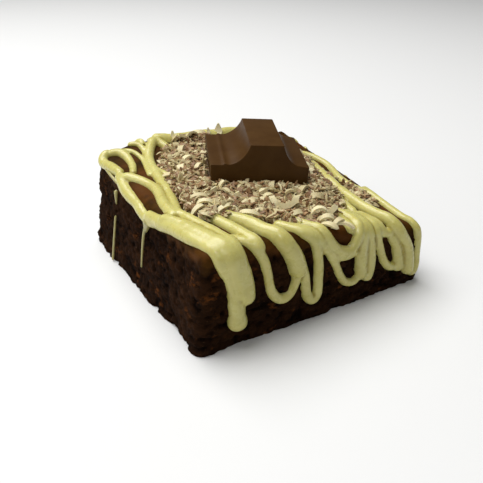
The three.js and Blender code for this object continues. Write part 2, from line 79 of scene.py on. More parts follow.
# White curls that stand out: place in plan, height over the crust, length, width, bend in
# radians, turn about Z and tilt about their length in degrees
CURLS = (
    (-15.2, -9.8, 1.9, 6.4, 1.0, 4.0, -31, 20), (-17.4, -11.2, 1.9, 4.6, 0.9, 2.2, 25, 15),
    (-11.4, -5.6, 2.2, 4.4, 1.1, 1.3, 20, 70), (-1.2, -16.0, 2.3, 7.0, 1.5, 2.8, -31, 150),
    (-1.4, -9.4, 2.5, 3.6, 1.8, 1.8, 10, -20), (-7.0, -12.6, 2.0, 3.4, 1.6, 2.4, 0, 200),
    (-8.0, -9.0, 2.1, 5.0, 1.0, 3.4, 30, 60), (-9.6, -16.6, 1.8, 4.6, 0.9, 1.8, -45, 30),
    (3.2, -12.0, 2.5, 4.6, 1.5, 3.0, -20, -15), (6.4, -12.0, 3.1, 4.0, 1.3, 2.4, 20, -15),
    (3.4, -21.4, 2.0, 7.6, 1.3, 5.3, -31, 0), (3.2, -24.0, 1.9, 5.4, 1.1, 4.6, -31, 20),
    (4.8, -25.4, 1.7, 4.6, 1.0, 2.6, 15, 10), (7.4, -20.4, 1.9, 6.4, 1.2, 3.4, 30, 40),
    (5.6, -26.2, 1.3, 4.4, 1.1, 1.6, -50, -10), (2.6, -25.4, 1.2, 4.0, 1.0, 1.8, -60, 20),
    (-12.8, -13.0, 1.8, 6.0, 1.1, 2.6, 10, 15), (-13.4, -10.4, 1.9, 4.6, 1.0, 3.2, 70, 30),
    (-8.2, 11.2, 2.5, 4.2, 2.0, 2.0, 0, -15), (-8.8, 5.2, 3.1, 3.6, 1.2, 2.6, 30, -10),
    (-7.4, 16.6, 2.4, 4.6, 1.9, 2.2, 40, -15), (-15.0, -6.6, 2.0, 4.6, 1.0, 2.0, -20, 20),
    (-11.6, 8.2, 2.0, 3.8, 1.7, 2.2, 60, -15), (-1.8, 23.2, 2.2, 5.0, 1.4, 2.2, 20, -30),
    (-4.4, 22.6, 2.0, 4.6, 1.3, 2.4, -20, -20), (1.2, 25.0, 1.5, 3.6, 1.5, 1.6, -31, 40),
    (7.2, -15.2, 2.6, 4.2, 1.3, 2.8, -31, 40), (-0.8, -19.6, 1.7, 4.0, 1.2, 2.4, 0, 30),
)
# Pointed flakes that stand up at the back edge: place in plan, height over the crust, length
# and width
FLAKES = ((4.0, 25.2, 1.0, 2.6, 1.2), (6.9, 25.2, 1.2, 3.8, 2.0), (-6.0, 24.6, 1.2, 3.2, 1.4))

# Camera: place, heading to the right of +Y, tilt below level, and focal length in widths
CAMERA_AT = (-62.33, -102.24, 71.7)
CAMERA_HEADING, CAMERA_TILT, CAMERA_FOCAL = 30.82, 29.5, 600 / 483


# Random numbers and noise

def smoothstep(value, low=0.0, high=1.0):
    """0 below low, 1 above high, and between them 3 s^2 - 2 s^3 of the share s."""
    share = np.clip((value - low) / (high - low), 0, 1)
    return share * share * (3 - 2 * share)


def mix(a, b, share):
    """From a to b by a share: a + (b - a) share."""
    return a + (b - a) * share


def random_source(seed):
    """Seeded numbers from 0 to 1: a counter, scrambled by two multiply-and-shift rounds."""
    whole = 0xFFFFFFFF
    state = seed
    while True:
        state = (state + 0x6D2B79F5) & whole
        t = ((state ^ (state >> 15)) * (1 | state)) & whole
        t = ((t + (((t ^ (t >> 7)) * (61 | t)) & whole)) & whole) ^ t
        yield (t ^ (t >> 14)) / 4294967296


def corner_blend(points, draw):
    """Draws at the 8 corners of each point's unit cell, blended by smoothstep along each axis."""
    cell = np.floor(points).astype(np.int64)
    share = smoothstep(points - cell)
    total = np.zeros(points.shape[:-1])
    for i in (0, 1):
        for j in (0, 1):
            for k in (0, 1):
                weight = np.abs(1 - i - share[..., 0])
                weight = weight * np.abs(1 - j - share[..., 1]) * np.abs(1 - k - share[..., 2])
                total += weight * draw(cell + np.array([i, j, k]))
    return 2 * total - 1


# Draws that the solids' noise reads, and the steps between neighbouring cells in them
DRAWS = 4096
LATTICE = np.array([number for number, _ in zip(random_source(7), range(DRAWS))])
STRIDES = np.array([73, 619, 1531])


def form_noise(x, y, z):
    """The solids' own noise, -1 to 1: a short table of draws, read in steps of three primes."""
    points = np.stack(np.broadcast_arrays(x, y, z), -1).astype(float)
    return corner_blend(points, lambda cell: LATTICE[(cell @ STRIDES) % DRAWS])


def scramble(cell, seed):
    """A number from 0 to 1 for each whole-number cell: its coordinates hashed with the seed."""
    big = cell @ np.array([73856093, 19349663, 83492791]) + seed * 6542989
    big = ((big ^ (big >> 13)) * 1274126177) & 0xFFFFFFFF
    big = ((big ^ (big >> 16)) * 2246822519) & 0xFFFFFFFF
    return ((big ^ (big >> 15)) & 0xFFFFFF) / 0xFFFFFF


def soft_noise(points, size, seed):
    """Smooth noise, -1 to 1, with lumps of the given size in mm. The seed tells calls apart."""
    return corner_blend(points / size, lambda cell: scramble(cell, seed))


def grain_noise(points, size, seed):
    """Distance from each point to the nearest of one random seed a cell, in cell sizes."""
    spot = points / size
    cell = np.floor(spot).astype(np.int64)
    nearest = np.full(spot.shape[:-1], np.inf)
    for i in (-1, 0, 1):
        for j in (-1, 0, 1):
            for k in (-1, 0, 1):
                near = cell + np.array([i, j, k])
                seeds = np.stack([scramble(near, seed + axis) for axis in (1, 2, 3)], -1)
                nearest = np.minimum(nearest, np.linalg.norm(near + seeds - spot, axis=-1))
    return nearest


# Meshes from arrays

def strip_faces(rows, columns):
    """Quads between neighbouring rows of a grid that closes round its columns."""
    i, j = np.meshgrid(np.arange(columns), np.arange(rows - 1))
    a = j * columns + i
    b = j * columns + (i + 1) % columns
    return np.stack([a, b, b + columns, a + columns], -1).reshape(-1, 4)


def ring_cover(columns):
    """Quads that close a ring of points, each from its first half across to its second."""
    one = np.arange(columns // 2 - 1)
    return np.stack([one, one + 1, columns - 2 - one, columns - 1 - one], -1)


def make_piece(name, points, faces, material, smooth=True):
    """A piece from points in mm and an array of faces that all have as many corners."""
    mesh = bpy.data.meshes.new(name)
    mesh.vertices.add(len(points))
    mesh.vertices.foreach_set("co", (np.asarray(points) * METRES).ravel())
    size = faces.shape[1]
    mesh.loops.add(faces.size)
    mesh.loops.foreach_set("vertex_index", faces.ravel().astype(np.int32))
    mesh.polygons.add(len(faces))
    mesh.polygons.foreach_set("loop_start", np.arange(0, faces.size, size, dtype=np.int32))
    mesh.polygons.foreach_set("use_smooth", np.full(len(faces), smooth))
    mesh.update(calc_edges=True)
    mesh.validate()
    return make_object(name, mesh, material)


def make_object(name, mesh, material):
    """An object for a mesh, riding on the part's one body, with its finish."""
    mesh.materials.append(material)
    piece = bpy.data.objects.new(name, mesh)
    bpy.context.collection.objects.link(piece)
    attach(piece, "root")
    return piece


def give_attribute(piece, name, values):
    """One number for each point of the mesh, for its material to read."""
    attribute = piece.data.attributes.new(name, "FLOAT", "POINT")
    attribute.data.foreach_set("value", np.asarray(values, np.float32).ravel())


def apply_modifiers(piece):
    """The piece's mesh with its modifiers worked in and taken off."""
    graph = bpy.context.evaluated_depsgraph_get()
    finished = bpy.data.meshes.new_from_object(piece.evaluated_get(graph))
    piece.modifiers.clear()
    rough, piece.data = piece.data, finished
    bpy.data.meshes.remove(rough)


# Shape of the cake

def top_height(x, y):
    """Crust height: straight between the corners, swollen along x, sunk in the middle, bulged."""
    s = (x - LEFT) / (RIGHT - LEFT)
    t = (y - FRONT) / (BACK - FRONT)
    plane = mix(mix(NEAR_LEFT, NEAR_RIGHT, s), mix(FAR_LEFT, FAR_RIGHT, s), t)
    across = 1 - (2 * s - 1) ** 2
    along = 1 - (2 * t - 1) ** 2
    from_bulge = ((x - BULGE_X) / BULGE_REACH_X) ** 2 + ((y - BULGE_Y) / BULGE_REACH_Y) ** 2
    crown = SWELL * across - SINK * np.clip(across * along, 0, 1) ** 0.7
    return plane + crown + BULGE_RISE * np.exp(-from_bulge)


def edge_of(x, y):
    """Signed distance of sheet points from the top's rounded outline, and the way out."""
    dx, dy = x - (LEFT + RIGHT) / 2, y - (FRONT + BACK) / 2
    qx = np.abs(dx) - (RIGHT - LEFT) / 2 + CORNER_R
    qy = np.abs(dy) - (BACK - FRONT) / 2 + CORNER_R
    outside = np.hypot(np.maximum(qx, 0), np.maximum(qy, 0))
    distance = outside + np.minimum(np.maximum(qx, qy), 0) - CORNER_R
    corner = (qx > 0) & (qy > 0)
    length = np.where(corner, np.hypot(qx, qy), 1)
    out_x = np.where(corner, qx / length, qx >= qy) * np.where(dx < 0, -1, 1)
    out_y = np.where(corner, qy / length, qx < qy) * np.where(dy < 0, -1, 1)
    return distance, out_x, out_y


def lay(x, y, raised=0.0):
    """Points on the cake for sheet points, raised off its surface, and the normals there.

    Inside the outline a sheet point is a plan point. Past it, its distance is the way down:
    a quarter circle over the edge, then straight down the leaning side.
    """
    x, y = np.asarray(x, float), np.asarray(y, float)
    distance, out_x, out_y = edge_of(x, y)
    edge_x, edge_y = x - out_x * distance, y - out_y * distance
    turn = np.clip(distance / ROUND + 0.5, 0, 1) * math.pi / 2
    flat = np.maximum(distance - ROUND / 2, 0)
    drop = top_height(edge_x - out_x * EDGE_R, edge_y - out_y * EDGE_R) - EDGE_R
    lean = out_x ** 2 * np.where(out_x < 0, LEAN_LEFT, LEAN_RIGHT)
    lean = lean + out_y ** 2 * np.where(out_y < 0, LEAN_FRONT, LEAN_BACK)
    level = distance < -ROUND / 2
    inner = np.minimum(distance, -ROUND / 2)
    reach_in = inner - (EDGE_R - ROUND / 2) * np.exp((inner + ROUND / 2) / EDGE_R)
    reach = np.where(level, reach_in, EDGE_R * (np.sin(turn) - 1) + flat * lean / drop)
    px, py = edge_x + out_x * reach, edge_y + out_y * reach
    pz = np.where(level, top_height(px, py), drop + EDGE_R * np.cos(turn) - flat)
    normal = np.stack([out_x * np.sin(turn), out_y * np.sin(turn), np.cos(turn)], -1)
    return np.stack([px, py, pz], -1) + normal * np.asarray(raised)[..., None], normal


def outline(count):
    """Points evenly round the top's rounded outline, by length along it, and the way out."""
    angle = np.radians(np.concatenate([np.linspace(-90, 0, 13) + 90 * c for c in range(4)]))
    out = np.stack([np.cos(angle), np.sin(angle)], -1)
    corner_x = np.repeat([RIGHT, RIGHT, LEFT, LEFT], 13) - CORNER_R * np.repeat([1, 1, -1, -1], 13)
    corner_y = np.repeat([FRONT, BACK, BACK, FRONT], 13) - CORNER_R * np.repeat([-1, 1, 1, -1], 13)
    at = np.stack([corner_x, corner_y], -1) + CORNER_R * out
    at, out = np.vstack([at, at[:1]]), np.vstack([out, out[:1]])
    length = np.concatenate([[0], np.cumsum(np.linalg.norm(np.diff(at, axis=0), axis=1))])
    spots = np.linspace(0, length[-1], count, endpoint=False)
    even = [np.interp(spots, length, column) for column in (*at.T, *out.T)]
    way = np.stack(even[2:], -1)
    return np.stack(even[:2], -1), way / np.linalg.norm(way, axis=1, keepdims=True)


# Skin of the cake

# How much wider than tall the lumps of the crumb are
FLATTENED = 1.5
# Where the smooth crust ends and where all is torn crumb, in mm past the top's outline
CRUST_END, CRUMB_START = 0.6, 3.4
# Least height over the floor of the torn sides, above their rounded foot
SIDES_CLEAR = 0.1
# Cake's skin: points in a ring, then rings on the crust, round the edge, on the sides and below
CAKE_COLUMNS, CRUST_RINGS, EDGE_RINGS, SIDE_RINGS, UNDER_RINGS = 780, 26, 8, 66, 9
# Height of the rounded foot, and the rings round it: how far down it and how far in each is
FOOT = 0.7
FOOT_RINGS = ((0.45, 0.12), (0.8, 0.35), (1.0, 0.75))
# Foot beside the near corner: how deep it draws in, from where and how far along, and how high
PINCH_DEPTH, PINCH_FROM, PINCH_TO, PINCH_HIGH = 1.9, 7, 13, 9


def crumb_relief(points):
    """Torn crumb in mm: soft swells, lumps of two sizes, a few pits and a grain, a little flat."""
    points = points * [1, 1, FLATTENED]
    swell = 0.26 * soft_noise(points, 5.0, 3) + 0.16 * soft_noise(points, 2.2, 4)
    lumps = 0.5 * (0.55 - grain_noise(points, 2.1, 10)) + 0.34 * (0.55 - grain_noise(points, 1.1, 20))
    pits = smoothstep(soft_noise(points, 1.4, 30), 0.35, 0.75)
    return swell + lumps - 0.45 * pits + 0.08 * soft_noise(points, 0.6, 31)


def crust_relief(points):
    """Thin crust in mm: low wrinkles and a fine grain."""
    return 0.12 * soft_noise(points, 4.0, 41) + 0.05 * soft_noise(points, 1.1, 42)


def pinch(points):
    """How far the foot draws in on both sides of the near corner, which itself stands out.

    With d the distance from that corner, it goes as (1 - exp(-(d / from)^2)) exp(-(d / to)^2).
    """
    away = np.hypot(points[..., 0] + HALF_X, points[..., 1] + HALF_Y)
    beside = (1 - np.exp(-(away / PINCH_FROM) ** 2)) * np.exp(-(away / PINCH_TO) ** 2)
    return PINCH_DEPTH * beside * (1 - smoothstep(points[..., 2], 0, PINCH_HIGH))


def skin_sheet(at, out):
    """Sheet points of the cake's rings: over the crust, round the edge and down the sides."""
    middle = np.array([(LEFT + RIGHT) / 2, (FRONT + BACK) / 2])
    inner = at - out * ROUND / 2
    crust = [middle + (inner - middle) * share for share in np.linspace(0.04, 0.97, CRUST_RINGS)]
    edge = [at + out * distance for distance in np.linspace(-0.5, 0.5, EDGE_RINGS) * ROUND]
    drop = lay(*at.T)[0][:, 2] - FOOT
    sides = [at + out * (ROUND / 2 + drop * level / SIDE_RINGS)[:, None] * 0.985
             for level in range(1, SIDE_RINGS + 1)]
    return np.stack(crust + edge + sides)


def under_rings(low, out):
    """Rings below the sides' lowest one: round a foot nibbled by noise, then in to the middle."""
    flat = low * [1, 1, 0]
    nibble = 0.5 + 0.6 * soft_noise(flat, 3.0, 60) + 0.7 * soft_noise(flat, 1.3, 61)
    way = np.concatenate([out, np.zeros((len(out), 1))], 1)
    rings = []
    for down, inward in FOOT_RINGS:
        ring = low - way * (inward * FOOT * (1 + nibble))[:, None]
        ring[:, 2] = low[:, 2] * (1 - down)
        rings.append(ring)
    foot = rings[-1]
    rings += [foot * share for share in np.linspace(0.93, 0.03, UNDER_RINGS)]
    return np.stack(rings)


def cake_mesh(material):
    """Rings round the cake, from its crust down to its underside, with relief along the normal.

    The relief goes from the crust's to the torn crumb's along a line that noise makes ragged.
    """
    at, out = outline(CAKE_COLUMNS)
    sheet = skin_sheet(at, out)
    points, normal = lay(sheet[..., 0], sheet[..., 1])
    distance = edge_of(sheet[..., 0], sheet[..., 1])[0]
    ragged = 1.1 * soft_noise(points, 2.4, 50) + 0.7 * soft_noise(points, 0.9, 51)
    side = smoothstep(distance + ragged, CRUST_END, CRUMB_START)
    torn = crumb_relief(points)
    relief = side * torn + (1 - side) * crust_relief(points)
    points = points + normal * relief[..., None]
    points -= normal * (side * pinch(points))[..., None]
    points[..., 2] = np.maximum(points[..., 2], SIDES_CLEAR)
    points = np.concatenate([points, under_rings(points[-1], out)])
    rows = len(points)
    cover = ring_cover(CAKE_COLUMNS)
    faces = np.vstack([strip_faces(rows, CAKE_COLUMNS), cover[:, ::-1],
                       cover + (rows - 1) * CAKE_COLUMNS])
    piece = make_piece("cake", points.reshape(-1, 3), faces[:, ::-1], material)
    # The torn relief also goes to the material, for painted light on the lumps and painted shade in
    # the pits
    for name, values, below in (("crumb", side, 1.0), ("lump", torn, 0.0)):
        whole = np.full((rows, CAKE_COLUMNS), below)
        whole[:len(sheet)] = values
        give_attribute(piece, name, whole)
    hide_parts("brownie")


# Drizzle

# Width in mm that smoothing the drizzle's skin takes off each strand
SMOOTHED_OFF = 0.25
# Distance between a rope's rings and points in a ring, for the drizzle and for the fine strings
DRIZZLE_STEP, DRIZZLE_SIDES = 0.35, 14
STRING_STEP, STRING_SIDES = 0.3, 10
# Ropes: depth below the middle as a share of the width, and where an end is tapered, its share
# of the width and the length that it takes
ROPE_BELOW, THIN_END, THIN_OVER = 0.42, 0.35, 3.5
# Skin of the drizzle: size of the cells that it is remeshed in, and its smoothing
SKIN_CELL, SKIN_ROUNDS, SKIN_SOFT = 0.265, 7, 0.5
# Rounds that even out how hollow the skin is, and how hollow in mm counts as a full crease of painted
# shade
CREASE_ROUNDS, FULL_CREASE_SHADE = 12, 0.008


def strand(width, way, end_width=None, rise=0.52, stand_off=0.0, lift=0.0):
    """A strand: its way over the sheet, its width at both ends, its rise and how it stands off.

    stand_off is how far its middle stands off the cake, and lift how far all of it does.
    """
    return {"width": width, "end_width": end_width or width, "way": way, "rise": rise,
            "stand_off": stand_off, "lift": lift, "tapered": False}


def hanging_loop(width, start, down, up, reach, end):
    """A loop over the front side: down at one place, round at the bottom, up at the other."""
    low = FRONT - reach
    bend = abs(up - down) / 2
    return strand(width, [
        start, (down, low + bend + 0.45 * reach), (down, low + bend), ((down + up) / 2, low),
        (up, low + bend), (up, low + bend + 0.45 * reach), end])


FRONT_STRANDS = [
    strand(2.6, [(-26.2, -2), (-25, -8), (-24, -12.5), (-22.6, -20), (-20.8, -26.2), (-18.6, -32.4),
        (-18.2, -36.4), (-18, -41.8)], 3.2, 0.45),
    strand(3.4, [(-18.3, -37.4), (-18, -41.8)], 4.2, 0.45),
    strand(2.3, [(-24.4, -8.2), (-21.9, -16), (-20.2, -24), (-18, -30.6)], 2.6, 0.6),
    strand(1.8, [(-21.2, -7.4), (-19.6, -13.8), (-18.5, -21), (-17.9, -26.2), (-16.6, -31.4),
        (-16.4, -36.6)], 3.8, 0.6),
    strand(3.0, [(-22.6, -13.5), (-20.8, -21), (-18.6, -28), (-17.2, -33), (-16.9, -35.6)], 4.6, 0.5),
    strand(2.4, [(-15.9, -12.6), (-14.6, -17.4), (-13.7, -23), (-12.9, -27.4)], 2.4, 0.55),
    strand(1.8, [(-17.2, -21.6), (-15.2, -24.2), (-12.6, -28), (-11.6, -31.2), (-10.7, -35.6),
        (-9.2, -37.4), (-8, -37.6), (-6.6, -36.8), (-5.2, -34.2), (-4.9, -32)]),
    strand(2.6, [(-13.8, -12.8), (-10.9, -17.2), (-9, -23.8), (-5.8, -29.2), (-4.5, -33.6)], 3.8, 0.6),
    strand(1.7, [(-4.6, -28.6), (-3.2, -33.6), (-2.7, -38), (-1.5, -39.4), (-0.3, -38.4), (0, -35),
        (0, -31.2), (-1.2, -26.6), (-3.2, -24.6), (-6, -19.4)], 2.1),
    strand(2, [(-4.6, -16.6), (-2.2, -19.6), (0, -23.2), (3.2, -28.2), (5.4, -29.8), (7.4, -30),
        (9, -28.2), (10.4, -24.4), (10.6, -20.4), (9.4, -18)], 2.2, 0.6),
    strand(1.9, [(8.8, -18.2), (8.4, -23.6), (8, -26.6)], 1.7, 0.5),
    strand(1.9, [(-4.6, -21.4), (-1.8, -24.6), (3.4, -30.2), (6.2, -31), (9.6, -30.2)], 1.8),
    strand(1.6, [(2.4, -29.6), (4, -32.2), (5.2, -34.8), (6.6, -36.7), (8.2, -37.1), (10.2, -36.4)]),
    strand(2.1, [(10.8, -17.4), (11.8, -22.8), (10.9, -28), (10.6, -34.4), (11, -36.8)], 2.7),
    strand(2.1, [(11.8, -18.4), (12.2, -24.8), (12.9, -30), (12.8, -34.4), (11.8, -37.4)], 2.7),
    strand(1.7, [(12.8, -19.6), (14.4, -24.6), (15.2, -28.6), (16.6, -32.6), (17.8, -34.2),
        (19.2, -34.8), (21.2, -34.4)]),
    strand(2, [(14, -19.6), (15.4, -24.2), (16.6, -26.8), (18, -27), (19.6, -25.6)], 1.6, 0.5),
    strand(2, [(18.2, -27.2), (19.8, -29.4), (20.8, -32.8), (21.2, -36)], 2.5),
]

RIGHT_STRANDS = [
    strand(2.1, [(20.8, 5.6), (18.8, -4.2), (17.6, -12.6), (17.6, -20.4), (19, -25), (22.6, -29.8),
        (23.4, -36.6)], 2.7, 0.6, lift=0.5),
    strand(2, [(17.8, -3), (15.4, -11), (14, -19.8)]),
    strand(1.7, [(19, 13), (24, 9.8), (25.8, 5), (23.6, -3.2), (23.4, -7), (25.8, -11.6)]),
    strand(1.8, [(26, -8.5), (25.6, -15), (25.1, -21.6), (25.8, -25.8), (28.6, -29.6), (29.5, -33.4),
        (26, -36), (24, -36.6)]),
]

LEFT_STRANDS = [
    strand(1.3, [(-21, 13), (-19.3, 18), (-19.6, 23.4), (-22, 25.4)], 2.3),
    strand(2.4, [(-21.6, 25.4), (-24.4, 24), (-23.9, 19.4), (-23.3, 14.4)], 1.9),
    strand(1, [(-21.2, 24.9), (-18, 23.6), (-16.3, 20), (-18, 10.4)]),
    strand(1.2, [(-17.2, 25.8), (-14.9, 24), (-14.8, 18.2)]),
    strand(2.3, [(-10.4, 26), (-14.6, 19), (-16.6, 10), (-18.2, 1), (-21, -9.2)], 2.1),
    strand(2.3, [(-10.6, 25.8), (-8.7, 21.4), (-9.6, 14.6)], 2),
    strand(2, [(-16.6, 14), (-15, 9.8), (-13.8, 5.6)], 1.7),
    strand(2.2, [(-24.8, 14.2), (-21.2, 8.8), (-19.9, 3.6), (-21.6, -4.4), (-22, -10.4)], 2.1),
    strand(2.4, [(-23.8, 15), (-25.2, 9), (-25.8, 2.2), (-26.5, -3), (-25.4, -7.6)], 2.1),
]

BACK_EDGE = strand(2.5, [(-11, 26.4), (-4, 25.4), (1, 26), (9, 26), (17, 25.4)], 2.2, 0.8)

# Fine strings that ran down the left side, and one that hangs below the far loop
THREADS = [
    strand(0.9, [(-27, 14.3), (-28.6, 14.1), (-30.2, 13.8)], 0.1, lift=0.3),
    strand(0.26, [(-32.6, 13.4), (-36, 13.6), (-44, 14)], 0.3, lift=0.55),
    strand(2.6, [(-25.8, -4), (-27.6, -2.9), (-29.6, -2.1)], 0.4, lift=0.25),
    strand(0.45, [(-28.4, -2.4), (-30.6, -1.9), (-37.6, -1.8)], 0.08, lift=0.5),
    strand(0.45, [(-25, 22.6), (-24.9, 19), (-25.1, 16.4), (-25.6, 14.2)], 0.45, 0.5, 0.5),
]


# Loops on the sides that the photo hides: how many, where the first is, how far apart they are,
# how far the longest hangs, how much nearer the edge they start, their rise, and whether at the
# back or on the right
HIDDEN = ((5, -19, 8.4, 13, 0, 0.52, True), (3, -1, 8, 7, 1.9, 0.3, False))


def hidden_loops():
    """Loops on the back and right sides, drawn at random to match those in front."""
    numbers = random_source(31)

    def draw(low, high):
        return mix(low, high, next(numbers))

    loops = []
    for count, first, pitch, deepest, outward, rise, at_back in HIDDEN:
        for i in range(count):
            down = first + pitch * i + draw(-0.4, 0.4)
            up = down + draw(3.4, 0.62 * pitch)
            start = FRONT + draw(1.6, 3) - outward
            width = draw(1.6, 2.2)
            loop = hanging_loop(width, (down - 1.5, start), down, up, draw(0.6, 1) * deepest,
                                (up + 1.5, start))
            loop["tapered"] = True
            loop["rise"] = rise
            loop["way"] = [(-x, BACK + FRONT - y) if at_back else (RIGHT + FRONT - y, x)
                           for x, y in loop["way"]]
            loops.append(loop)
    return loops


def smooth_way(points, step):
    """Centripetal Catmull-Rom curve through the points, in even steps along its length."""
    points = np.array(points, float)
    p = np.vstack([2 * points[0] - points[1], points, 2 * points[-1] - points[-2]])
    knots = np.concatenate([[0], np.cumsum(np.linalg.norm(np.diff(p, axis=0), axis=1) ** 0.5)])
    pieces = []
    for i in range(1, len(p) - 2):
        t0, t1, t2, t3 = knots[i - 1:i + 3]
        t = np.linspace(t1, t2, 40, endpoint=i == len(p) - 3)[:, None]
        a1 = ((t1 - t) * p[i - 1] + (t - t0) * p[i]) / (t1 - t0)
        a2 = ((t2 - t) * p[i] + (t - t1) * p[i + 1]) / (t2 - t1)
        a3 = ((t3 - t) * p[i + 1] + (t - t2) * p[i + 2]) / (t3 - t2)
        b1 = ((t2 - t) * a1 + (t - t0) * a2) / (t2 - t0)
        b2 = ((t3 - t) * a2 + (t - t1) * a3) / (t3 - t1)
        pieces.append(((t2 - t) * b1 + (t - t1) * b2) / (t2 - t1))
    line = np.vstack(pieces)
    length = np.concatenate([[0], np.cumsum(np.linalg.norm(np.diff(line, axis=0), axis=1))])
    spots = np.linspace(0, length[-1], max(4, int(length[-1] / step)))
    return np.stack([np.interp(spots, length, column) for column in line.T], -1), spots


def rope(item, step, sides):
    """Rope laid on the cake: a flattened round section along the way, with round ends.

    At each end the section shrinks as a half circle does, over half the rope's width. Its points
    come ring by ring.
    """
    way, along = smooth_way(item["way"], step)
    share = along / along[-1]
    from_end = np.minimum(along, along[-1] - along)
    fine = smoothstep(from_end, 0, THIN_OVER) if item["tapered"] else 1
    raised = item["lift"] + item["stand_off"] * np.sin(math.pi * share)
    centre, normal = lay(way[:, 0], way[:, 1], raised)
    forward = np.gradient(centre, axis=0)
    forward /= np.linalg.norm(forward, axis=1, keepdims=True)
    across = np.cross(forward, normal)
    across /= np.linalg.norm(across, axis=1, keepdims=True)
    up = np.cross(across, forward)
    width = mix(item["width"], item["end_width"], share)
    width = width * (1 + 0.09 * soft_noise(centre, 3.1, 70) + 0.04 * soft_noise(centre, 1.3, 71))
    width = (width + SMOOTHED_OFF) * mix(THIN_END, 1, fine)
    end = np.clip(from_end / (0.5 * width), 0, 1)
    size = width * np.sqrt(np.maximum(1 - (1 - end) ** 2, 0.02))
    angle = 2 * math.pi * np.arange(sides) / sides
    tall = np.where(np.sin(angle) > 0, item["rise"], ROPE_BELOW)
    points = (centre[:, None]
              + across[:, None] * (size[:, None] / 2 * np.cos(angle))[..., None]
              + up[:, None] * (size[:, None] * tall * np.sin(angle))[..., None])
    return points.reshape(-1, 3)


def drizzle_mesh(material):
    """All ropes as one skin: joined, remeshed so that they run into each other, and smoothed."""
    strands = FRONT_STRANDS + RIGHT_STRANDS + LEFT_STRANDS + [BACK_EDGE] + hidden_loops()
    mesh = join_ropes("drizzle", strands, DRIZZLE_STEP, DRIZZLE_SIDES)
    piece = make_object("drizzle", mesh, material)
    remesh = piece.modifiers.new("one skin", "REMESH")
    remesh.mode = "VOXEL"
    remesh.voxel_size = SKIN_CELL * METRES
    remesh.use_smooth_shade = True
    soften = piece.modifiers.new("soften", "SMOOTH")
    soften.factor = SKIN_SOFT
    soften.iterations = SKIN_ROUNDS
    apply_modifiers(piece)
    # The skin's hollowness, which its material turns into painted shade in the creases
    give_attribute(piece, "crease", crease_shade(piece.data))
    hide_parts("brownie")


def crease_shade(mesh):
    """How hollow the skin is at each point, about -1 to 1, evened out over its neighbours: the mask of
    the painted shade in the drizzle's creases.

    It is the way from a point to the middle of its neighbours, along the normal there.
    """
    count = len(mesh.vertices)
    points, normals = np.empty(3 * count), np.empty(3 * count)
    mesh.vertices.foreach_get("co", points)
    mesh.vertices.foreach_get("normal", normals)
    points, normals = points.reshape(-1, 3) / METRES, normals.reshape(-1, 3)
    edges = np.empty(2 * len(mesh.edges), np.int64)
    mesh.edges.foreach_get("vertices", edges)
    one, other = edges.reshape(-1, 2).T
    near = np.concatenate([one, other]), np.concatenate([other, one])
    shared = np.bincount(near[0], minlength=count)

    def middle(values):
        return np.bincount(near[0], values[near[1]], count) / shared

    hollow = sum((middle(points[:, axis]) - points[:, axis]) * normals[:, axis] for axis in range(3))
    for _ in range(CREASE_ROUNDS):
        hollow = 0.5 * hollow + 0.5 * middle(hollow)
    return np.clip(hollow / FULL_CREASE_SHADE, -1, 1)


def join_ropes(name, strands, step, sides):
    """Ropes as one mesh, each a closed tube with a fan at both ends."""
    points, polygons, start = [], [], 0
    ring = np.arange(1, sides - 1)
    fan = np.stack([np.zeros_like(ring), ring, ring + 1], -1)
    for item in strands:
        spots = rope(item, step, sides)
        points.append(spots)
        tube = strip_faces(len(spots) // sides, sides)
        polygons += (tube[:, ::-1] + start).tolist()
        polygons += (fan + start).tolist()
        start += len(spots)
        polygons += (fan[:, ::-1] + start - sides).tolist()
    mesh = bpy.data.meshes.new(name)
    mesh.from_pydata((np.vstack(points) * METRES).tolist(), [], polygons)
    mesh.update()
    return mesh


def thread_mesh(material):
    """The fine strings on the left side."""
    mesh = join_ropes("threads", THREADS, STRING_STEP, STRING_SIDES)
    mesh.shade_smooth()
    make_object("threads", mesh, material)


# Moulded piece

# How far the side walls' feet stand in, how much lower the right ledge's rim is, and the slopes
# in degrees that the flanks reach at the top and that the right one starts from
PIECE_FOOT_IN, RIGHT_RIM_LOW, STEEP, RIGHT_START = 0.3, 0.3, 72, 14
# Bead along the left flank's crease: height and half width, and points along its ledge
BEAD_HEIGHT, BEAD_REACH, LEDGE_POINTS = 0.3, 0.45, 14
# Worn edges: width of the rounding, its segments, and the least angle in degrees that gets it
WORN, WORN_SEGMENTS, WORN_ANGLE = 0.34, 4, 28


def turning(axis, degrees):
    """Rotation about X, Y or Z."""
    c, s = math.cos(math.radians(degrees)), math.sin(math.radians(degrees))
    matrix = np.eye(3)
    a, b = [(1, 2), (2, 0), (0, 1)][axis]
    matrix[a, a], matrix[a, b], matrix[b, a], matrix[b, b] = c, -s, s, c
    return matrix


PIECE_PLACE = turning(2, PIECE_TURN) @ turning(1, PIECE_ROLL) @ turning(0, PIECE_PITCH)


